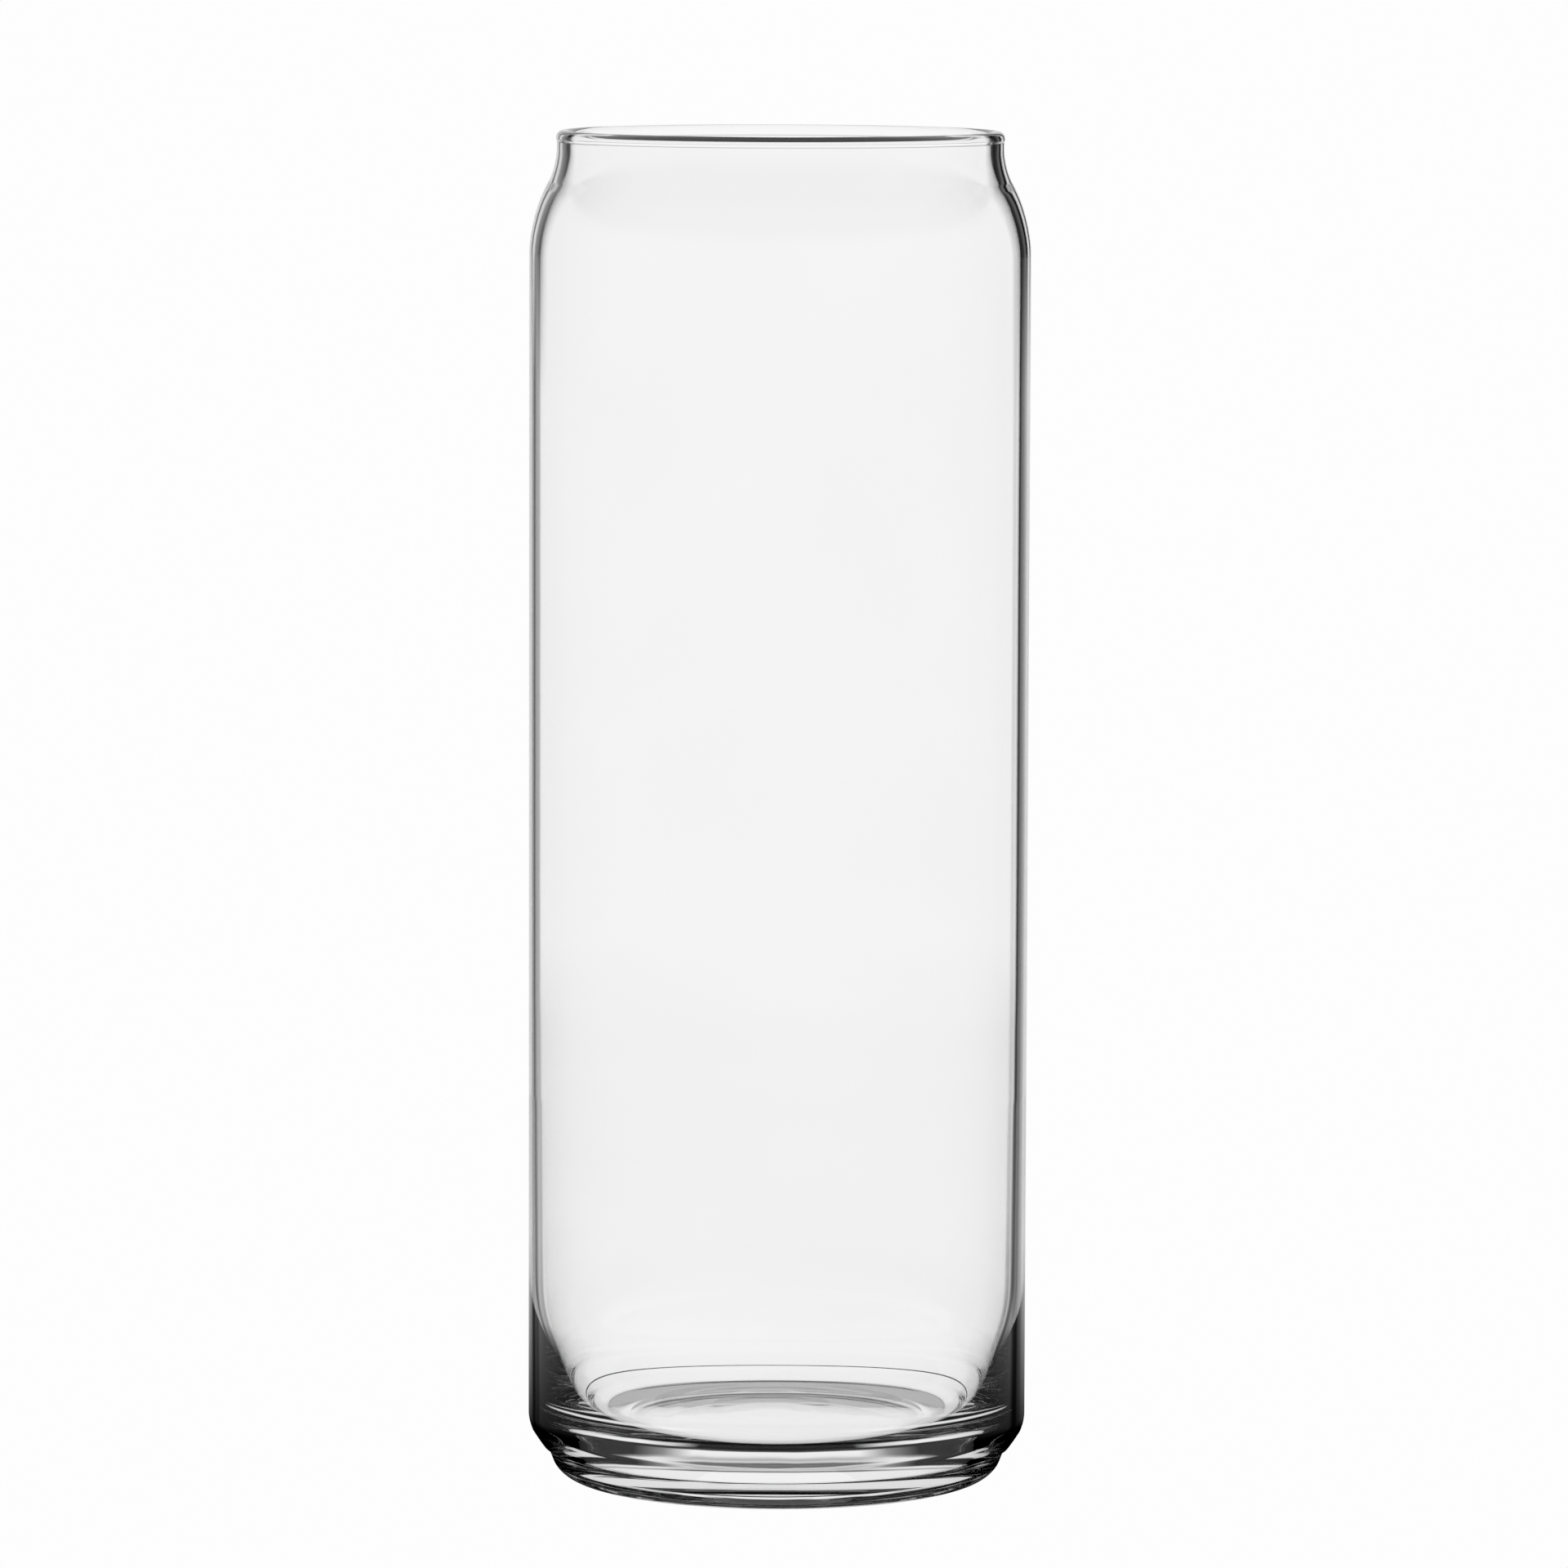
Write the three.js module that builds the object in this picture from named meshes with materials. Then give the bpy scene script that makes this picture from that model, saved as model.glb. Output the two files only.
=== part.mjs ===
// Can-shaped drinking glass, blown in one piece: a wall of clear glass turned about an upright axis.
// Millimetres, +Z up, with the origin in the table plane on the axis.

import * as THREE from 'three';

// Outside of the glass
const overallHeight = 178.6;
const bodyDiameter = 66;
const neckDiameter = 58.8;
const neckLength = 4.6; // rim down to the corner where the shoulder leaves the neck
const shoulderDrop = 7.1; // height of the sloping shoulder, corner to corner
const shoulderHollow = 9; // rounding between neck and shoulder
const shoulderCrown = 18; // rounding between shoulder and body
const heelHeight = 6; // corner where the body turns in towards the foot
const heelRounding = 5.5;

// Foot, set back under the heel
const footHeight = 4.2;
const footDiameter = 61; // at the top of the foot, under the heel
const footStep = 0.5; // width of the ledge between heel and foot
const standDiameter = 57.8; // where the foot's side would meet the table if it had no rounding
const footRounding = 3.5;
const pushUpDiameter = 43; // inner edge of the flat ring that the glass stands on
const pushUpHeight = 1.2; // rise of the hollow underside at its middle

// Inside of the glass
const neckWall = 1.8;
const bodyWall = 1.4;
const thickeningHeight = 58; // the wall grows slowly thicker from here down
const thickeningRounding = 600;
const bowlHeight = 18; // the bottom of the inside turns in like a bowl from here down
const bowlWall = 2.3; // wall at that height
const bowlRounding = 45;
const rootWall = 6.5; // wall at the level of the inside floor, before its corner is rounded
const floorHeight = 4.3;
const floorRounding = 10.3;

// Fire-polished rim: a bead a little thicker than the neck wall
const rimSwell = 0.1; // how far the bead stands out on each side of the wall

// Largest distance between a facet and the round surface it stands for
const facetSag = 0.04;

const bodyRadius = bodyDiameter / 2;
const neckRadius = neckDiameter / 2;
const footRadius = footDiameter / 2;

/** Points along an arc, close enough together that no facet departs from it by more than facetSag. */
function arcPoints(centre, radius, startAngle, sweep) {
  const facetAngle = 2 * Math.acos(1 - Math.min(facetSag / radius, 1));
  const facets = Math.max(2, Math.ceil(Math.abs(sweep) / facetAngle));
  const clockwise = sweep < 0;
  const arc = new THREE.EllipseCurve(
    centre.x, centre.y, radius, radius, startAngle, startAngle + sweep, clockwise,
  );
  return arc.getPoints(facets);
}

/** The geometry of one corner between its two neighbours: its edges, its turn and its setback. */
function cornerAt(corners, index) {
  const { at, rounding = 0 } = corners[index];
  const back = corners[index - 1].at.clone().sub(at);
  const ahead = corners[index + 1].at.clone().sub(at);
  const turn = Math.PI - Math.acos(back.dot(ahead) / (back.length() * ahead.length()));
  return { at, back, ahead, turn, setback: rounding * Math.tan(turn / 2) };
}

/**
 * Points of a run of corners from the first to the last. Each corner between them is rounded
 * by its own radius, less where its two edges are too short for the roundings that share them.
 */
function roundedRun(corners) {
  const bends = corners.slice(2).map((_, index) => cornerAt(corners, index + 1));
  const setbackOf = (index) => (bends[index] ? bends[index].setback : 0);
  const points = [corners[0].at];
  bends.forEach(({ at, back, ahead, turn, setback }, index) => {
    if (setback === 0) {
      points.push(at);
      return;
    }
    const roomBack = back.length() / (setback + setbackOf(index - 1));
    const roomAhead = ahead.length() / (setback + setbackOf(index + 1));
    const tangent = setback * Math.min(1, roomBack, roomAhead);
    const radius = tangent / Math.tan(turn / 2);
    const start = back.clone().setLength(tangent);
    const end = ahead.clone().setLength(tangent);
    const toCentre = start.clone().add(end).setLength(Math.hypot(radius, tangent));
    const startArm = start.sub(toCentre);
    const endArm = end.sub(toCentre);
    const sweep = Math.sign(startArm.cross(endArm)) * turn;
    points.push(...arcPoints(at.clone().add(toCentre), radius, startArm.angle(), sweep));
  });
  points.push(corners.at(-1).at);
  return points;
}

const corner = (radius, height, rounding) => ({ at: new THREE.Vector2(radius, height), rounding });

/** Underside: a shallow dome from the axis to the inner edge of the standing ring. */
function undersidePoints() {
  const ringRadius = pushUpDiameter / 2;
  const domeRadius = (ringRadius ** 2 + pushUpHeight ** 2) / (2 * pushUpHeight);
  const centre = new THREE.Vector2(0, pushUpHeight - domeRadius);
  const span = 2 * Math.atan2(pushUpHeight, ringRadius);
  return arcPoints(centre, domeRadius, Math.PI / 2, -span);
}

// Shoulder corners, and how far the inside ones lie below them for an even wall round the bend
const shoulderTop = overallHeight - neckLength;
const shoulderBottom = shoulderTop - shoulderDrop;
const shoulderSlope = Math.atan2(bodyRadius - neckRadius, shoulderDrop);
const bendShift = Math.tan(shoulderSlope / 2);

// Rim bead: a circle on the middle of the neck wall that tucks in to both its faces
const beadRadius = neckWall / 2 + rimSwell;
const beadCentre = new THREE.Vector2(neckRadius - neckWall / 2, overallHeight - beadRadius);
const beadTuck = Math.acos(neckWall / 2 / beadRadius);
const beadFoot = beadCentre.y - beadRadius * Math.sin(beadTuck);

/** Outside, from the standing ring over the foot, heel, body and shoulder to the rim bead. */
function outsidePoints() {
  return roundedRun([
    corner(pushUpDiameter / 2, 0),
    corner(standDiameter / 2, 0, footRounding),
    corner(footRadius, footHeight),
    corner(footRadius + footStep, footHeight),
    corner(bodyRadius, heelHeight, heelRounding),
    corner(bodyRadius, shoulderBottom, shoulderCrown),
    corner(neckRadius, shoulderTop, shoulderHollow),
    corner(neckRadius, beadFoot),
  ]);
}

/** Inside, from the rim bead down the thickening wall and round the bowl to the middle of the floor. */
function insidePoints() {
  const neckInside = neckRadius - neckWall;
  const bodyInside = bodyRadius - bodyWall;
  return roundedRun([
    corner(neckInside, beadFoot),
    corner(neckInside, shoulderTop - neckWall * bendShift, shoulderHollow + neckWall),
    corner(bodyInside, shoulderBottom - bodyWall * bendShift, shoulderCrown - bodyWall),
    corner(bodyInside, thickeningHeight, thickeningRounding),
    corner(bodyRadius - bowlWall, bowlHeight, bowlRounding),
    corner(bodyRadius - rootWall, floorHeight, floorRounding),
    corner(0, floorHeight),
  ]);
}

/** Joins runs of points, leaving out each point that repeats the one before it. */
function joinRuns(...runs) {
  const sameSpot = 1e-6;
  return runs.flat().filter((point, index, all) => index === 0 || point.distanceTo(all[index - 1]) > sameSpot);
}

/** The closed wall section, turned about the axis. */
function glassGeometry() {
  const bead = arcPoints(beadCentre, beadRadius, -beadTuck, Math.PI + 2 * beadTuck);
  const outline = joinRuns(undersidePoints(), outsidePoints(), bead, insidePoints());
  const facetAngle = 2 * Math.acos(1 - facetSag / bodyRadius);
  const facetsPerQuarter = Math.ceil(Math.PI / 2 / facetAngle);
  return new THREE.LatheGeometry(outline, 4 * facetsPerQuarter).rotateX(Math.PI / 2);
}

const clearGlass = new THREE.MeshStandardMaterial({
  color: 0xf2f4f3,
  roughness: 0.03,
  metalness: 0,
  transparent: true,
  opacity: 0.35,
});

const glass = new THREE.Mesh(glassGeometry(), clearGlass);
glass.name = 'glass';

const part = new THREE.Group();
part.add(glass);

export default part;
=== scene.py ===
"""Dresses the can-shaped drinking glass and sets it on a white table in bright studio light."""

import math

import bmesh
import bpy
from bpy.props import FloatProperty, IntProperty, PointerProperty
from mathutils import Matrix, Vector, noise


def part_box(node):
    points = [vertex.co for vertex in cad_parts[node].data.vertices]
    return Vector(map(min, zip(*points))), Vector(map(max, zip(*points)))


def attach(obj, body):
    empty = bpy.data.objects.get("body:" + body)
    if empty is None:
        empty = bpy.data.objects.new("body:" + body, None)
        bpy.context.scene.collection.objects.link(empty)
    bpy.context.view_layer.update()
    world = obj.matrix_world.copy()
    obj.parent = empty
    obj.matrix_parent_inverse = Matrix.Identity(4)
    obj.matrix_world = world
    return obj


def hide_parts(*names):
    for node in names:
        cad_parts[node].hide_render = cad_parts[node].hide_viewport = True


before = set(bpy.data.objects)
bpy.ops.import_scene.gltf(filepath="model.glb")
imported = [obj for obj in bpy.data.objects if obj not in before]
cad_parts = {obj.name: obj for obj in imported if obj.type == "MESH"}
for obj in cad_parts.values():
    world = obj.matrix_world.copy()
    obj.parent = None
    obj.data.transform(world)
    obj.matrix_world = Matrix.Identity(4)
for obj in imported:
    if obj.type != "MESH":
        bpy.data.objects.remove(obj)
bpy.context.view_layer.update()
glass_low, glass_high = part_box("glass")

bl_info = {
    "name": "Can-shaped drinking glass",
    "version": (1, 0, 0),
    "blender": (4, 5, 0),
    "location": "3D View > Sidebar > Glass",
    "description": (
        "Builds a clear drinking glass shaped like a drinks can, and the studio it is seen in"),
    "category": "Add Mesh",
}

# How finely the glass is made
SAME_SPOT = 1e-7  # points closer together than this become one
HAIR = 1e-6  # leeway where points are picked by their place
FINEST_BEND = math.radians(4)  # largest turn between neighbouring faces of a rounding
LEAST_FACES = 4  # fewest faces across a rounding
EDGE_SHARE = 0.98  # share of an edge that the roundings at its ends may take up
HOLLOW_ROUNDING = 4  # rounding of the hollow underside, in radii of its edge
BOWL_STEP = 0.0004  # longest edge in the bowl when its roundings are blended
BOWL_PASSES = 40  # how often they are blended
BOWL_TOP = 2  # how far up they are blended, in heights of the bowl

# Chill rings on the inside floor
RING_NOISE = 60.0  # how quickly their wandering changes from place to place
RING_WANDER = 0.8  # how far they wander, in distances between two rings
RING_UNEVENNESS = 2.0  # height of the uneven floor among them, in heights of a ring
RINGS_END = 0.023  # radius at which they have faded
RINGS_FADE = 0.005  # width over which they fade

# Patterns of the finish, and the light that smears let through by how thick they are
SMEARS = {"Scale": 38.0, "Detail": 4.0}
WAVES = {"Scale": 90.0, "Detail": 1.0}
SMEAR_TINT = ((0.3, 1.0), (0.75, 0.985))

# The stage
TABLE_RADIUS = 8.0
TABLE_SIDES = 64
TABLE_LEVEL = -0.0002  # just under the glass
CARD_LEVEL = -0.0001  # between the glass and the table
CARD_STEPS = 96  # faces round the ring of cards
OVERHEAD = 0.9  # share of the cards' height above which a face is part of the ceiling
SENSOR_WIDTH = 36.0
LIGHT_BOUNCES = 24

# Light is told apart by how many faces of the glass it has passed and how often it was mirrored
NO_FACE_PASSED = 0.5  # below this it has stayed outside
WALL_CROSSED = 2.5  # above this it has crossed a wall and entered the next
BOTH_CROSSED = 3.5  # above this it has crossed both walls
MIRRORED = 0.5  # above this it was mirrored
MIRRORED_AGAIN = 1.5  # above this it was mirrored more than once

# Brightness of the table for light that has crossed both walls, by its slant: all round the
# glass, and in a strip behind it. The dark part in the middle is painted shade on the table,
# which draws the rim's front line.
STEEP_LIGHT = ((0.07, 1.0), (0.1, 0.0), (0.43, 0.0), (0.475, 1.0))
SLANTING_LIGHT = ((0.07, 1.0), (0.1, 0.0), (0.76, 0.0), (0.8, 1.0))

# Brightness of the cards by the angle from straight behind the glass to the right, in degrees
ROOM_CARDS = (
    (-120, 0.55), (-90, 0.6), (-60, 0.7), (-45, 0.82), (0, 0.85),
    (45, 0.82), (60, 0.7), (90, 0.6), (120, 0.55))
BODY_SHEEN = (
    (-120, 0.55), (-60, 0.6), (-36, 0.85), (-34.5, 0.5), (-33, 0.3), (-29.5, 0.4), (-27, 0.1),
    (-24, 0.1), (-22, 0.4), (-20.5, 0.75), (-16, 0.85),
    (21, 0.85), (24.5, 0.5), (29.5, 0.3), (32, 0.05), (37, 0.1), (41, 0.85), (60, 0.6),
    (120, 0.55))
BODY_CARDS = (
    (-120, 0.55), (-90, 0.6), (-60, 0.7), (-45, 0.82), (-35.5, 0.9), (-34, 0.5), (-32, 0.38),
    (-28.5, 0.57), (-26, 0.4), (-25, 0.12), (-22.7, 0.12), (-21.5, 0.6), (-18, 0.76), (-15, 0.9),
    (15, 0.88), (19.5, 0.54), (21.5, 0.54), (23.5, 0.35), (25, 0.27), (28.5, 0.3), (30, 0.12),
    (31.5, 0.03), (33.5, 0.03), (35.5, 0.5), (36.7, 0.6), (38, 0.1), (41, 0.0), (42.5, 0.85),
    (60, 0.7), (90, 0.6), (120, 0.55))
NECK_SHEEN = (
    (-120, 0.55), (-60, 0.6), (-44, 0.75), (-40, 0.3), (-38.5, 0.0), (-36, 0.0), (-33, 0.15),
    (-29, 0.25), (-26, 0.85), (-24, 0.85), (-21.5, 0.2), (-20, 0.2), (-18.5, 0.85),
    (12, 0.85), (13.5, 0.05), (16.5, 0.05), (18.5, 0.85), (22, 0.85), (23.5, 0.0), (40, 0.0),
    (41, 0.2), (46, 0.3), (48, 0.8), (60, 0.6), (120, 0.55))
NECK_CARDS = (
    (-120, 0.55), (-90, 0.6), (-60, 0.7), (-45, 0.82), (-43, 0.7), (-40, 0.3), (-37, 0.0),
    (-33.5, 0.0), (-31.5, 0.2), (-28, 0.3), (-24, 0.4), (-22, 0.9), (-18, 0.9), (-16, 0.15),
    (-14, 0.15), (-12, 0.9),
    (7, 0.9), (8, 0.0), (11, 0.0), (13, 0.9), (17, 0.9), (18.5, 0.0), (21, 0.0), (23.5, 0.25),
    (28, 0.05), (36, 0.0), (38, 0.15), (43, 0.3), (44.5, 0.9), (60, 0.7), (120, 0.55))
MAT_CARDS = ((-14, 0.0), (-9, 0.9), (9, 0.9), (14, 0.0))

# Brightness of the card under the glass by the distance from the axis, in millimetres: in its
# middle and at its sides. Its dark rings are painted contact shadow under and round the stand
# ring, and the light rings between them are the card's own light.
UNDER_REACH = 50  # the card's rings lie within this
UNDER_SHADOW_AND_LIGHT_MIDDLE = (
    (23.7, 0.9), (23.85, 0.15), (24.2, 0.15), (24.4, 0.7), (24.8, 0.45), (25.2, 0.9),
    (25.9, 0.95), (26.2, 0.1), (27.0, 0.0), (45.0, 0.0))
UNDER_SHADOW_AND_LIGHT_SIDES = (
    (23.7, 0.9), (24.1, 0.35), (24.4, 0.9), (24.9, 0.9), (25.05, 0.05), (27.0, 0.03), (27.2, 0.9),
    (28.2, 0.9), (28.5, 0.0), (33.0, 0.0), (33.5, 0.85), (34.4, 0.85), (35.0, 0.0), (45.0, 0.0))
UNDER_WANDER = {"Scale": 150.0, "Detail": 2.0}  # pattern of the rings' wandering
# Brightness of the cards by the distance from the axis for light that has crossed the glass,
# in metres
FLOOR_RINGS = (
    (0.03, 1.0), (0.035, 0.15), (0.1, 0.2), (0.13, 0.55), (0.18, 0.4), (0.22, 0.6), (0.28, 0.42),
    (0.34, 0.6), (0.42, 0.5), (0.6, 1.0))

# Where one set of cards gives way to another, in metres
SIDES_BEGIN = ((0.012, 0.0), (0.017, 1.0))  # from the middle to the sides under the glass
SHEEN_BEGINS = ((0.05, 0.0), (0.22, 1.0))  # out from the axis, for light mirrored outside
NECK_BEGINS = ((0.1, 0.0), (0.14, 1.0))  # up from the body's cards to the neck's
EVEN_BAND = ((0.12, 0.0), (0.13, 1.0), (0.185, 1.0), (0.2, 0.0))  # heights of the evenly lit band
EVEN_LEVEL = 0.8  # brightness of that band
EVEN_SLANT = 0.006  # light that meets it more squarely than this doesn't find it
MAT_BEGINS = 0.03  # distance from the axis
STRAIGHT_DOWN = 0.06  # light with less slant than this falls almost straight down


def length(name, description, default):
    """A property that holds a length in metres."""
    return FloatProperty(
        name=name, description=description, default=default, min=0.0, precision=5, unit='LENGTH')


def share(name, description, default, most=1.0):
    """A property that holds a plain share or level."""
    return FloatProperty(
        name=name, description=description, default=default, min=0.0, soft_max=most)


def degrees(name, description, default):
    """A property that holds an angle, given here in degrees."""
    return FloatProperty(
        name=name, description=description, default=math.radians(default), subtype='ANGLE')


class GlassShape(bpy.types.PropertyGroup):
    """Sizes of the glass. Height and body come from the solid that it dresses."""

    height: length("Height", "Table to rim", glass_high[2])
    body_diameter: length("Body", "Diameter of the straight body", glass_high[0] - glass_low[0])
    neck_diameter: length("Neck", "Diameter of the drawn-in neck", 0.0588)
    neck_length: length("Neck length", "Rim down to where the shoulder leaves the neck", 0.0046)
    shoulder_drop: length("Shoulder", "Height of the sloping shoulder", 0.0071)
    shoulder_hollow: length("Shoulder hollow", "Rounding between neck and shoulder", 0.009)
    shoulder_crown: length("Shoulder crown", "Rounding between shoulder and body", 0.018)
    heel_height: length("Heel", "Height at which the body turns in to the foot", 0.006)
    heel_rounding: length("Heel rounding", "Rounding of the heel", 0.0055)
    foot_height: length("Foot", "Height of the foot under the heel", 0.0042)
    foot_diameter: length("Foot diameter", "Diameter of the foot under the heel", 0.061)
    foot_step: length("Foot step", "Width of the ledge between heel and foot", 0.0005)
    stand_diameter: length("Stand", "Diameter on the table before the foot is rounded", 0.0578)
    foot_rounding: length(
        "Foot rounding", "Rounding between the foot's side and the table", 0.0035)
    push_up_diameter: length("Push-up", "Inner diameter of the ring it stands on", 0.043)
    push_up_height: length("Push-up height", "Rise of the hollow underside", 0.0012)
    neck_wall: length("Neck wall", "Thickness of the neck", 0.0018)
    body_wall: length("Body wall", "Thickness of the body", 0.0014)
    thickening_height: length("Thickening", "The wall grows thicker from here down", 0.058)
    thickening_rounding: length(
        "Thickening rounding", "Rounding where the wall begins to thicken", 0.6)
    bowl_height: length("Bowl", "The inside turns in like a bowl from here down", 0.018)
    bowl_wall: length("Bowl wall", "Thickness at the top of the bowl", 0.0023)
    bowl_rounding: length("Bowl rounding", "Rounding at the top of the bowl", 0.045)
    root_wall: length("Root wall", "Thickness at the floor before its corner is rounded", 0.0065)
    floor_height: length("Floor", "Height of the inside floor", 0.0043)
    floor_rounding: length("Floor rounding", "Rounding between the wall and the floor", 0.0103)
    rim_swell: length("Rim swell", "How far the rim bead stands out on each side", 0.0001)
    edge_softness: length("Edge softness", "Fire-polished rounding of the small edges", 0.0003)
    ripple_height: length("Ripple", "Height of the chill rings on the inside floor", 0.000008)
    ripple_pitch: length("Ripple pitch", "Distance between two chill rings", 0.004)
    turn_steps: IntProperty(
        name="Turn steps", description="Faces round the glass", default=192, min=24, max=360)


class GlassFinish(bpy.types.PropertyGroup):
    """The clear glass itself."""

    refraction: share("Refractive index", "1.52 for soda-lime glass", 1.52, 2.0)
    roughness: share(
        "Roughness", "Roughness of the fire-polished surface at its dullest", 0.006)
    waviness: length("Waviness", "Height of the faint waves left by forming", 0.000004)


class StudioLight(bpy.types.PropertyGroup):
    """The white table, the cards that draw the glass's edges, and the camera."""

    white: share("White", "Brightness of table and background", 0.985)
    ceiling: share("Ceiling", "Brightness of the dark ceiling", 0.05)
    white_rise: share(
        "White height", "Sine of the angle above the table up to which the background is white",
        0.2)
    # Rim line, rim height and strip width place the painted shade on the table.
    rim_line: length(
        "Rim line", "Distance from the axis beyond which the rim finds no light below it", 0.065)
    rim_height: length(
        "Rim height", "Height above which light has to leave the glass to find the dark strip",
        0.155)
    strip_turn: degrees(
        "Strip width", "How far to each side the dark strip behind the glass spreads", 28.0)
    edge_offset: length(
        "Edge offset", "How far from the axis the mirrored light leaves the wall", 0.036)
    wander: length("Wander", "How far the rings under the glass wander", 0.0004)
    shut_in: share("Shut in", "Share of those rings that light shut in the wall finds", 0.3)
    mat_radius: length("Mat", "Radius of the black mat round the glass", 0.045)
    mat_fade: length(
        "Mat fade", "Radius at which the mat has faded to the cards' own brightness", 0.075)
    card_radius: length("Card distance", "Distance of the ring of cards", 0.9)
    card_height: length("Card height", "Height of the cards", 0.5)
    grey: share("Ceiling grey", "Brightness of the grey card overhead", 0.45)
    focal_length: FloatProperty(
        name="Focal length", description="Camera lens for a 36 mm sensor", default=210.375,
        unit='CAMERA', min=1.0)
    camera_distance: length(
        "Camera distance", "Camera to the glass's axis, along the table", 1.206)
    camera_height: length("Camera height", "Camera above the table", 0.2134)
    camera_side: FloatProperty(
        name="Camera side", description="Camera to the right of the axis", default=0.00072,
        precision=5, unit='LENGTH')
    camera_tilt: degrees("Tilt", "Camera looks down by this", 5.732)
    camera_roll: degrees("Roll", "Camera turned about its view", 0.19)


class Wire:
    """An output of a shader tree. Arithmetic on it adds Math nodes, and node() any other node."""

    def __init__(self, tree, socket=None):
        self.tree = tree
        self.socket = socket

    def node(self, kind, settings=None, sockets=None, output=0):
        """Adds a node, sets it up, fills or links its inputs and returns one of its outputs."""
        node = self.tree.nodes.new(kind)
        for name, value in (settings or {}).items():
            if name == "stops":
                for stop, (position, level) in zip(ramp_stops(node, len(value)), value):
                    stop.position = position
                    stop.color = (level, level, level, 1.0)
            else:
                setattr(node, name, value)
        for key, value in (sockets or {}).items():
            if isinstance(value, Wire):
                self.tree.links.new(value.socket, node.inputs[key])
            else:
                node.inputs[key].default_value = value
        return Wire(self.tree, node.outputs[output] if node.outputs else None)

    def also(self, output):
        """Another output of the same node."""
        return Wire(self.tree, self.socket.node.outputs[output])

    def ramp(self, stops):
        """A level that follows this value from stop to stop, each given as (value, level)."""
        return self.node("ShaderNodeValToRGB", {"stops": stops}, {"Fac": self})

    def math(self, operation, *values):
        """A Math node on the values."""
        return self.node("ShaderNodeMath", {"operation": operation}, dict(enumerate(values)))

    def __add__(self, other):
        return self.math('ADD', self, other)

    def __sub__(self, other):
        return self.math('SUBTRACT', self, other)

    def __rsub__(self, other):
        return self.math('SUBTRACT', other, self)

    def __mul__(self, other):
        return self.math('MULTIPLY', self, other)

    def __truediv__(self, other):
        return self.math('DIVIDE', self, other)

    def __rtruediv__(self, other):
        return self.math('DIVIDE', other, self)

    def __abs__(self):
        return self.math('ABSOLUTE', self)

    def __gt__(self, other):
        return self.math('GREATER_THAN', self, other)

    def __lt__(self, other):
        return self.math('LESS_THAN', self, other)

    __radd__ = __add__
    __rmul__ = __mul__


def ramp_stops(node, count):
    """The stops of a colour ramp, after adding as many as are wanted."""
    stops = node.color_ramp.elements
    while len(stops) < count:
        stops.new(0.5)
    return stops


def new_material(name):
    """An empty node material and the Wire that builds it."""
    material = bpy.data.materials.new(name)
    material.use_nodes = True
    material.node_tree.nodes.clear()
    return material, Wire(material.node_tree)


def object_place(wire):
    """Where a spot lies on its object, as a vector."""
    return wire.node("ShaderNodeTexCoord", output="Object")


def polar_place(wire):
    """Where a spot lies: as a vector and as X, Y and Z, its distance, and its bearing from +Y."""
    place = object_place(wire)
    across = wire.node("ShaderNodeSeparateXYZ", sockets={0: place})
    distance = wire.node("ShaderNodeVectorMath", {"operation": 'LENGTH'}, {0: place}, "Value")
    bearing = wire.math('ARCTAN2', across, across.also("Y"))
    return place, across, distance, bearing


def slant_of_light(wire):
    """1 less the sine of the angle between a surface and the light that meets it."""
    return wire.node("ShaderNodeLayerWeight", sockets={"Blend": 0.5}, output="Facing")


def uneven(place, pattern):
    """Soft noise over a surface."""
    return place.node("ShaderNodeTexNoise", sockets={"Vector": place, **pattern})


def blend(part, one, other):
    """A part of one and the rest of the other."""
    return part * one + (1 - part) * other


def clear_glass(finish):
    """Fire-polished soda-lime glass: faintly wavy, with thin smears that dull it a little."""
    material, wire = new_material("clear_glass")
    place = object_place(wire)
    smears = uneven(place, SMEARS)
    waves = uneven(place, WAVES)
    normal = wire.node("ShaderNodeBump", sockets={
        "Height": waves, "Distance": finish.waviness, "Strength": 1.0})
    shader = wire.node("ShaderNodeBsdfPrincipled", sockets={
        "Base Color": smears.ramp(SMEAR_TINT),
        "Roughness": smears * finish.roughness,
        "IOR": finish.refraction,
        "Transmission Weight": 1.0,
        "Normal": normal,
    })
    wire.node("ShaderNodeOutputMaterial", sockets={"Surface": shader})
    return material


def lit_table(studio):
    """An even white light with painted shade for light that the rim bends down: the rim's front
    line.
    """
    material, wire = new_material("table_white")
    _, _, distance, bearing = polar_place(wire)
    slant = slant_of_light(wire)
    steep, slanting = (1 - slant.ramp(levels) for levels in (STEEP_LIGHT, SLANTING_LIGHT))
    sine = 1 - slant
    left_at = distance * (sine / wire.math('SQRT', 1 - sine * sine))
    behind = (left_at > studio.rim_height) * (abs(bearing) < studio.strip_turn)
    bent = wire.node("ShaderNodeLightPath", output="Transmission Depth") > BOTH_CROSSED
    # Painted shade: bent light finds the table dark far out where it falls steeply, and in the
    # strip behind the glass where it left the glass high up.
    dark = bent * wire.math('MAXIMUM', (distance > studio.rim_line) * steep, behind * slanting)
    light = wire.node("ShaderNodeEmission", sockets={"Color": studio.white * (1 - dark)})
    wire.node("ShaderNodeOutputMaterial", sockets={"Surface": light})
    return material


def by_bearing(levels):
    """Ramp stops for levels by degrees: a full turn from 0 to 1, with straight behind at 0.5."""
    return tuple((angle / 360 + 0.5, level) for angle, level in levels)


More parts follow.
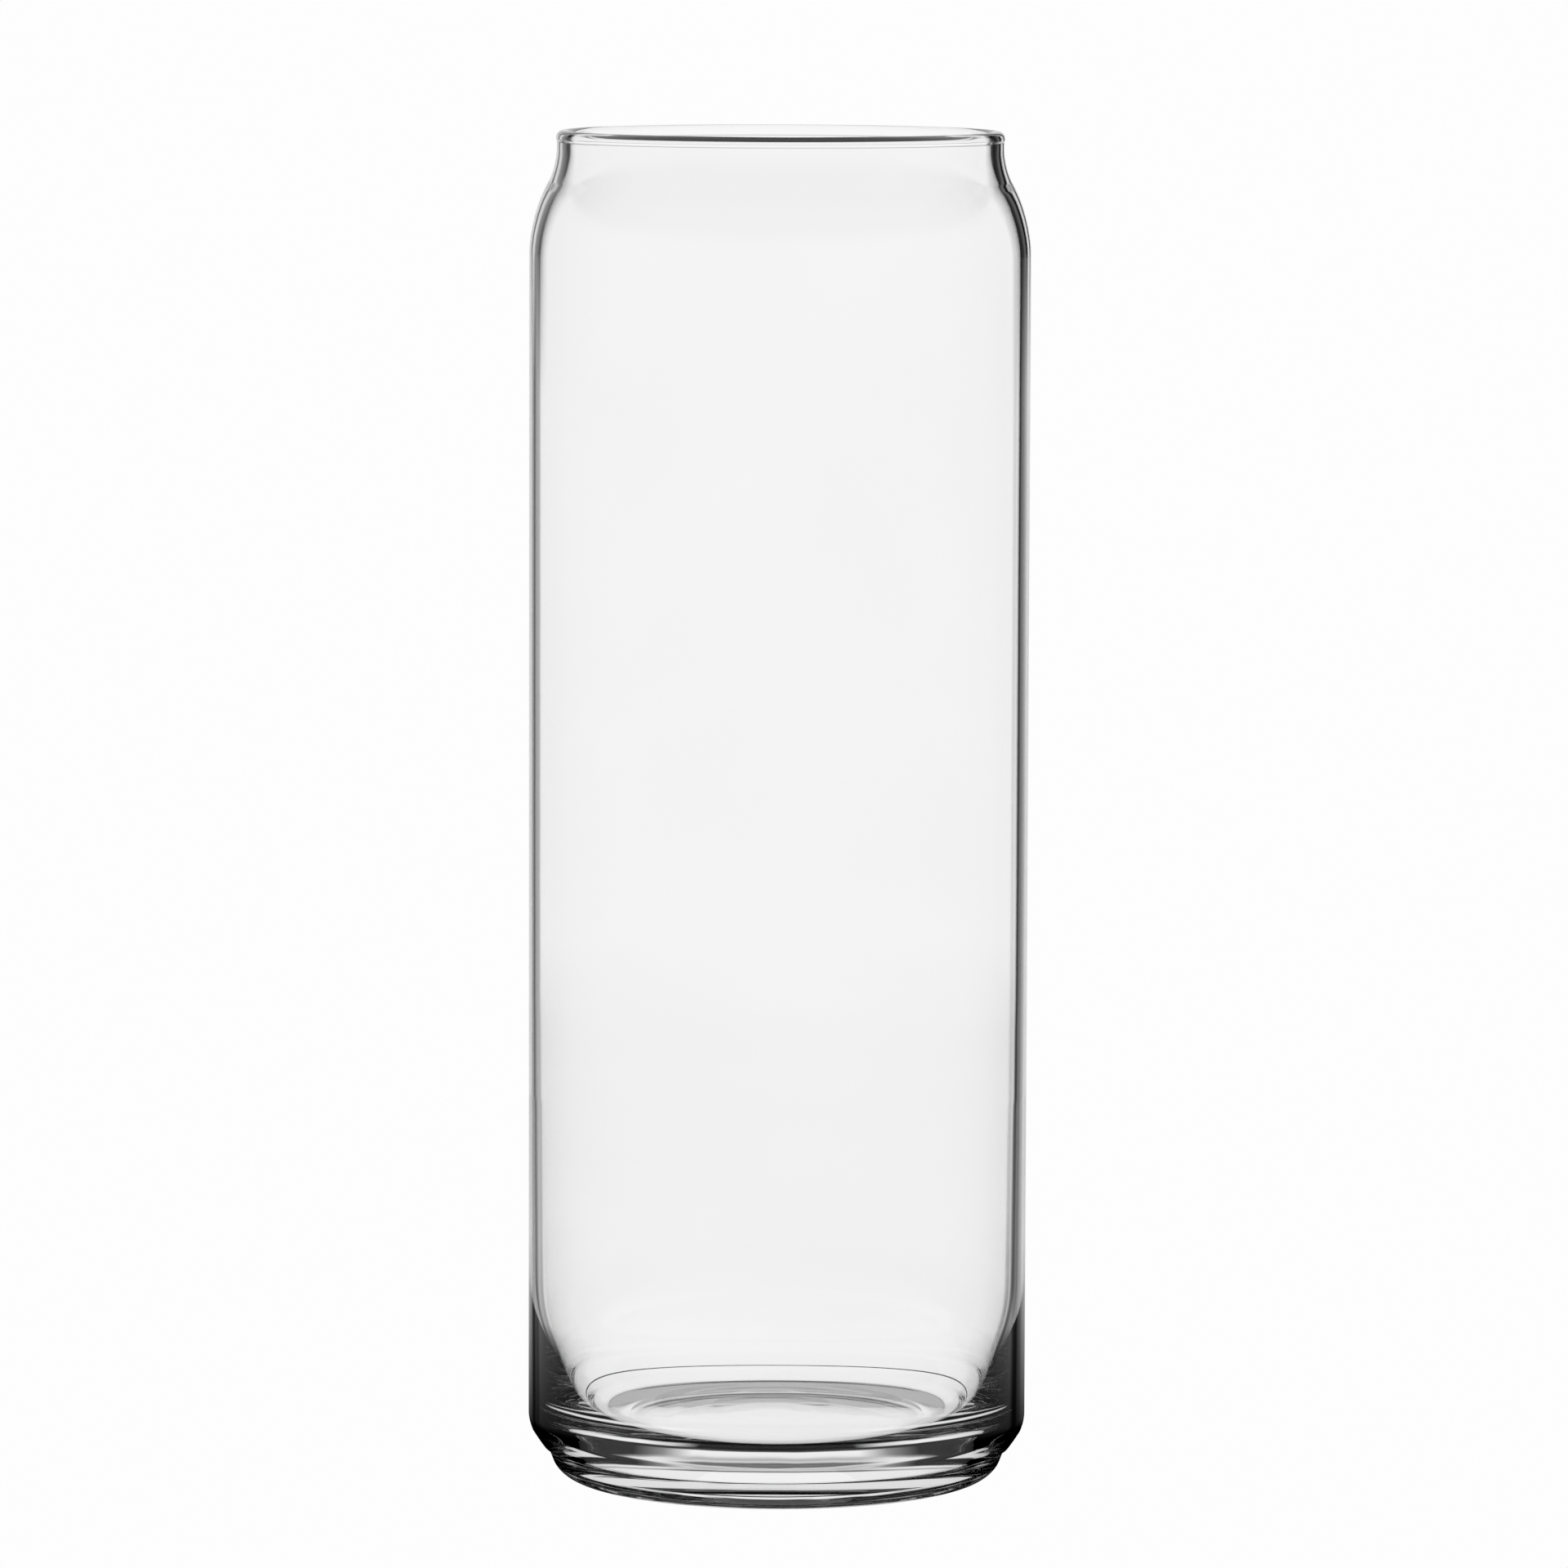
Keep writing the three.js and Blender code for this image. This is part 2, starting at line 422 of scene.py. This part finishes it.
def cards(studio):
    """Cards that only mirrored light sees. They draw the edges in white, grey and black lines."""
    material, wire = new_material("cards")
    place, across, distance, bearing = polar_place(wire)
    height = across.also("Z")
    radian = 0.5 / math.pi  # as a share of a full turn
    angle = bearing * radian + 0.5
    aslant = studio.edge_offset / distance - studio.edge_offset / studio.card_radius
    from_edge = angle - wire.math('SIGN', across) * aslant * radian
    room, mat = (angle.ramp(by_bearing(levels)) for levels in (ROOM_CARDS, MAT_CARDS))
    body_sheen, body, neck_sheen, neck = (
        from_edge.ramp(by_bearing(levels))
        for levels in (BODY_SHEEN, BODY_CARDS, NECK_SHEEN, NECK_CARDS))
    wander = uneven(place, UNDER_WANDER) - 0.5
    reached = (distance + studio.wander * wander) * (1000 / UNDER_REACH)
    middle, sides = (
        reached.ramp(tuple((radius / UNDER_REACH, level) for radius, level in levels))
        for levels in (UNDER_SHADOW_AND_LIGHT_MIDDLE, UNDER_SHADOW_AND_LIGHT_SIDES))
    # Painted contact shadow under and round the stand ring, with light rings between
    under = blend(abs(across).ramp(SIDES_BEGIN), sides, middle)
    rings = distance.ramp(FLOOR_RINGS)
    far = distance.ramp(((studio.mat_radius, 0.0), (studio.mat_fade, 1.0)))
    calm = distance.ramp(SHEEN_BEGINS)
    high = height.ramp(NECK_BEGINS)
    slant = slant_of_light(wire)
    even = (slant > EVEN_SLANT) * height.ramp(EVEN_BAND)
    mirrored = wire.node("ShaderNodeLightPath", output="Glossy Depth")
    passed = mirrored.also("Transmission Depth")
    crossed = passed > WALL_CROSSED
    outside = passed < NO_FACE_PASSED
    inside = (1 - crossed) * (1 - outside)
    once = inside * (mirrored < MIRRORED_AGAIN)
    edge = blend(even, EVEN_LEVEL, blend(high, neck, body))
    sheen = blend(calm, blend(high, neck_sheen, body_sheen), slant < STRAIGHT_DOWN)
    near = under + mat * (distance > MAT_BEGINS)
    level = (
        crossed * room * rings + outside * sheen + far * once * edge + (1 - far) * once * near
        + (inside - once) * under * studio.shut_in)
    seen_mirrored(wire, level)
    return material


def ceiling_card(studio):
    """A grey card over the cards, for light that the glass sends up."""
    material, wire = new_material("ceiling_card")
    mirrored = wire.node("ShaderNodeLightPath", output="Glossy Depth")
    passed = mirrored.also("Transmission Depth")
    shut_in = (mirrored > MIRRORED_AGAIN) * (passed < WALL_CROSSED)
    seen_mirrored(wire, studio.grey * (1 - shut_in))
    return material


def seen_mirrored(wire, level):
    """Shines at a level, but only for light that the glass has mirrored. Other light passes by."""
    mirrored = wire.node("ShaderNodeLightPath", output="Glossy Depth") > MIRRORED
    light = wire.node("ShaderNodeEmission", sockets={"Color": level})
    clear = wire.node("ShaderNodeBsdfTransparent")
    mixed = wire.node("ShaderNodeMixShader", sockets={0: mirrored, 1: clear, 2: light})
    wire.node("ShaderNodeOutputMaterial", sockets={"Surface": mixed})


def mesh_object(name, bm, *materials):
    """Turns a finished bmesh into an object of the scene."""
    mesh = bpy.data.meshes.new(name)
    bm.to_mesh(mesh)
    bm.free()
    for material in materials:
        mesh.materials.append(material)
    made = bpy.data.objects.new(name, mesh)
    bpy.context.collection.objects.link(made)
    return made


def draw_line(bm, points):
    """Draws a line of edges through points given as (radius, height)."""
    spots = [bm.verts.new((radius, 0.0, height)) for radius, height in points]
    for start, end in zip(spots, spots[1:]):
        bm.edges.new((start, end))
    return spots


def turn(bm, steps):
    """Turns all that is drawn once round the Z axis and closes it."""
    bmesh.ops.spin(
        bm, geom=bm.verts[:] + bm.edges[:], cent=(0, 0, 0), axis=(0, 0, 1), angle=2 * math.pi,
        steps=steps, use_merge=True)
    bmesh.ops.remove_doubles(bm, verts=bm.verts, dist=SAME_SPOT)
    bmesh.ops.recalc_face_normals(bm, faces=bm.faces)


def round_corners(bm, spots, roundings):
    """Rounds each corner of a drawn line by its own radius, less where its edges are short."""
    setbacks = [0.0] * len(spots)
    bends = [0.0] * len(spots)
    for index in range(1, len(spots) - 1):
        back = spots[index - 1].co - spots[index].co
        ahead = spots[index + 1].co - spots[index].co
        bends[index] = math.pi - back.angle(ahead)
        setbacks[index] = roundings[index] * math.tan(bends[index] / 2)
    fitted = []
    for index in range(1, len(spots) - 1):
        room = 1.0
        for other in (index - 1, index + 1):
            edge = (spots[other].co - spots[index].co).length
            wanted = setbacks[index] + setbacks[other]
            if wanted > 0.0:
                room = min(room, EDGE_SHARE * edge / wanted)
        fitted.append(setbacks[index] * room)
    for spot, setback, bend in zip(spots[1:-1], fitted, bends[1:-1]):
        if setback > 0.0:
            segments = max(LEAST_FACES, math.ceil(bend / FINEST_BEND))
            bmesh.ops.bevel(
                bm, geom=[spot], offset=setback, offset_type='OFFSET', segments=segments,
                profile=0.5, affect='VERTICES', material=-1, clamp_overlap=False)


def wall_corners(shape):
    """Corners of the wall's section, from underside to floor, as (radius, height, rounding)."""
    body = shape.body_diameter / 2
    neck = shape.neck_diameter / 2
    foot = shape.foot_diameter / 2
    push_up = shape.push_up_diameter / 2
    soft = shape.edge_softness
    shoulder_top = shape.height - shape.neck_length
    shoulder_bottom = shoulder_top - shape.shoulder_drop
    slope = math.atan2(body - neck, shape.shoulder_drop)
    inside_drop = math.tan(slope / 2)
    inside_neck = neck - shape.neck_wall
    inside_body = body - shape.body_wall
    inside_hollow = shape.shoulder_hollow + shape.neck_wall
    inside_crown = shape.shoulder_crown - shape.body_wall
    bead = shape.neck_wall / 2 + shape.rim_swell
    middle = neck - shape.neck_wall / 2
    lean = math.acos(shape.neck_wall / 2 / bead)
    tuck = shape.height - bead * (1 + math.sin(lean))
    bulge = tuck + shape.rim_swell / math.tan(lean)
    return [
        (0.0, shape.push_up_height, 0.0),
        (push_up / 2, shape.push_up_height, push_up * HOLLOW_ROUNDING),
        (push_up, 0.0, soft),
        (shape.stand_diameter / 2, 0.0, shape.foot_rounding),
        (foot, shape.foot_height, soft),
        (foot + shape.foot_step, shape.foot_height, soft),
        (body, shape.heel_height, shape.heel_rounding),
        (body, shoulder_bottom, shape.shoulder_crown),
        (neck, shoulder_top, shape.shoulder_hollow),
        (neck, tuck, soft),
        (middle + bead, bulge, bead),
        (middle + bead, shape.height, bead),
        (middle - bead, shape.height, bead),
        (middle - bead, bulge, bead),
        (inside_neck, tuck, soft),
        (inside_neck, shoulder_top - shape.neck_wall * inside_drop, inside_hollow),
        (inside_body, shoulder_bottom - shape.body_wall * inside_drop, inside_crown),
        (inside_body, shape.thickening_height, shape.thickening_rounding),
        (body - shape.bowl_wall, shape.bowl_height, shape.bowl_rounding),
        (body - shape.root_wall, shape.floor_height, shape.floor_rounding),
        (0.0, shape.floor_height, 0.0),
    ]


def soften_bowl(bm, floor_middle, shape):
    """Blends the roundings of the bowl-shaped bottom, so that no line shows where they meet."""
    line = []
    edge = floor_middle.link_edges[0]
    vert = floor_middle
    while edge and vert.co.z < shape.thickening_height:
        line.append(edge)
        vert = edge.other_vert(vert)
        onward = [other for other in vert.link_edges if other is not edge]
        edge = onward[0] if onward else None
    for edge in line:
        cuts = int(edge.calc_length() / BOWL_STEP)
        if cuts:
            bmesh.ops.subdivide_edges(bm, edges=[edge], cuts=cuts)
    outer_wall = shape.body_diameter / 2 - shape.foot_step
    low = shape.floor_height - HAIR
    high = BOWL_TOP * shape.bowl_height
    bowl = [
        vert for vert in bm.verts if HAIR < vert.co.x < outer_wall and low < vert.co.z < high]
    for _ in range(BOWL_PASSES):
        bmesh.ops.smooth_vert(bm, verts=bowl, factor=0.5, use_axis_x=True, use_axis_z=True)


def raise_chill_rings(bm, shape):
    """Raises faint, wandering rings on the inside floor."""
    inner = shape.body_diameter / 2 - shape.bowl_wall
    low = shape.floor_height - HAIR
    for vert in bm.verts:
        radius = vert.co.xy.length
        if low <= vert.co.z < shape.bowl_height and radius < inner:
            wander = noise.noise(vert.co * RING_NOISE)
            rings = math.sin(2 * math.pi * (radius / shape.ripple_pitch + RING_WANDER * wander))
            begun = min(1.0, radius / shape.ripple_pitch)
            fade = begun * max(0.0, min(1.0, (RINGS_END - radius) / RINGS_FADE))
            vert.co.z += shape.ripple_height * fade * (rings + RING_UNEVENNESS * wander)


def glass_wall(shape):
    """The whole glass: its wall's section turned about the axis, with faint rings on its floor."""
    bm = bmesh.new()
    corners = wall_corners(shape)
    spots = draw_line(bm, [(radius, height) for radius, height, _ in corners])
    floor_middle = spots[-1]
    round_corners(bm, spots, [rounding for _, _, rounding in corners])
    soften_bowl(bm, floor_middle, shape)
    turn(bm, shape.turn_steps)
    raise_chill_rings(bm, shape)
    bmesh.ops.recalc_face_normals(bm, faces=bm.faces)
    for face in bm.faces:
        face.smooth = True
    return bm


class ADD_OT_can_glass(bpy.types.Operator):
    """Builds the glass in place of its plain solid"""

    bl_idname = "mesh.add_can_glass"
    bl_label = "Add glass"

    def execute(self, context):
        scene = context.scene
        glass = mesh_object(
            "glass_wall", glass_wall(scene.glass_shape), clear_glass(scene.glass_finish))
        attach(glass, "root")
        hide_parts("glass")
        return {'FINISHED'}


class ADD_OT_glass_studio(bpy.types.Operator):
    """Builds the white table, the cards round it, the room's light and the camera"""

    bl_idname = "scene.add_glass_studio"
    bl_label = "Add studio"

    def execute(self, context):
        studio = context.scene.glass_studio
        table = self.white_table(studio)
        ring = self.ring_of_cards(studio)
        self.room_light(context.scene, studio)
        self.camera(context.scene, studio)
        return {'FINISHED'}

    @staticmethod
    def white_table(studio):
        """A wide round table just under the glass."""
        bm = bmesh.new()
        bmesh.ops.create_circle(
            bm, cap_ends=True, segments=TABLE_SIDES, radius=TABLE_RADIUS,
            matrix=Matrix.Translation((0, 0, TABLE_LEVEL)))
        return mesh_object("table", bm, lit_table(studio))

    @staticmethod
    def ring_of_cards(studio):
        """Cards under, round and over the glass, whose mirror images draw its edges."""
        bm = bmesh.new()
        draw_line(bm, [
            (0.0, CARD_LEVEL), (studio.card_radius, CARD_LEVEL),
            (studio.card_radius, studio.card_height), (0.0, studio.card_height)])
        turn(bm, CARD_STEPS)
        for face in bm.faces:
            overhead = face.calc_center_median().z > OVERHEAD * studio.card_height
            face.material_index = 1 if overhead else 0
        return mesh_object("cards", bm, cards(studio), ceiling_card(studio))

    @staticmethod
    def room_light(scene, studio):
        """White all round, up to a dark ceiling."""
        world = bpy.data.worlds.new("room")
        world.use_nodes = True
        world.node_tree.nodes.clear()
        wire = Wire(world.node_tree)
        toward = wire.node("ShaderNodeTexCoord", output="Generated")
        rise = wire.node("ShaderNodeSeparateXYZ", sockets={0: toward}, output="Z")
        level = rise.ramp((
            (studio.white_rise, studio.white), (2 * studio.white_rise, studio.ceiling)))
        light = wire.node("ShaderNodeBackground", sockets={"Color": level})
        wire.node("ShaderNodeOutputWorld", sockets={"Surface": light})
        scene.world = world

    @staticmethod
    def camera(scene, studio):
        """The camera, and how often light may bounce on its way through the glass."""
        lens = bpy.data.cameras.new("camera")
        lens.sensor_width = SENSOR_WIDTH
        lens.lens = studio.focal_length
        camera = bpy.data.objects.new("camera", lens)
        scene.collection.objects.link(camera)
        tilt = Matrix.Rotation(math.pi / 2 - studio.camera_tilt, 4, 'X')
        look = tilt @ Matrix.Rotation(studio.camera_roll, 4, 'Z')
        stand = Vector((studio.camera_side, -studio.camera_distance, studio.camera_height))
        camera.matrix_world = Matrix.Translation(stand) @ look
        scene.camera = camera
        scene.view_settings.view_transform = 'Standard'
        for path in ("max", "transmission", "glossy", "transparent_max"):
            setattr(scene.cycles, f"{path}_bounces", LIGHT_BOUNCES)


class VIEW3D_PT_can_glass(bpy.types.Panel):
    """Sizes, finish and light of the glass"""

    bl_label = "Can-shaped glass"
    bl_space_type = 'VIEW_3D'
    bl_region_type = 'UI'
    bl_category = "Glass"

    def draw(self, context):
        layout = self.layout
        layout.use_property_split = True
        for operator in (ADD_OT_can_glass, ADD_OT_glass_studio):
            layout.operator(operator.bl_idname)
        scene = context.scene
        for group in (scene.glass_shape, scene.glass_finish, scene.glass_studio):
            box = layout.box()
            for name in group.__annotations__:
                box.prop(group, name)


CLASSES = (
    GlassShape, GlassFinish, StudioLight, ADD_OT_can_glass, ADD_OT_glass_studio,
    VIEW3D_PT_can_glass)


def register():
    """Makes the classes known and gives the scene their settings."""
    for one in CLASSES:
        bpy.utils.register_class(one)
    bpy.types.Scene.glass_shape = PointerProperty(type=GlassShape)
    bpy.types.Scene.glass_finish = PointerProperty(type=GlassFinish)
    bpy.types.Scene.glass_studio = PointerProperty(type=StudioLight)


def unregister():
    """Takes the settings and the classes away again."""
    del bpy.types.Scene.glass_studio
    del bpy.types.Scene.glass_finish
    del bpy.types.Scene.glass_shape
    for one in reversed(CLASSES):
        bpy.utils.unregister_class(one)


def main():
    """Builds the glass and its studio."""
    register()
    bpy.ops.mesh.add_can_glass()
    bpy.ops.scene.add_glass_studio()


if __name__ == "__main__":
    main()
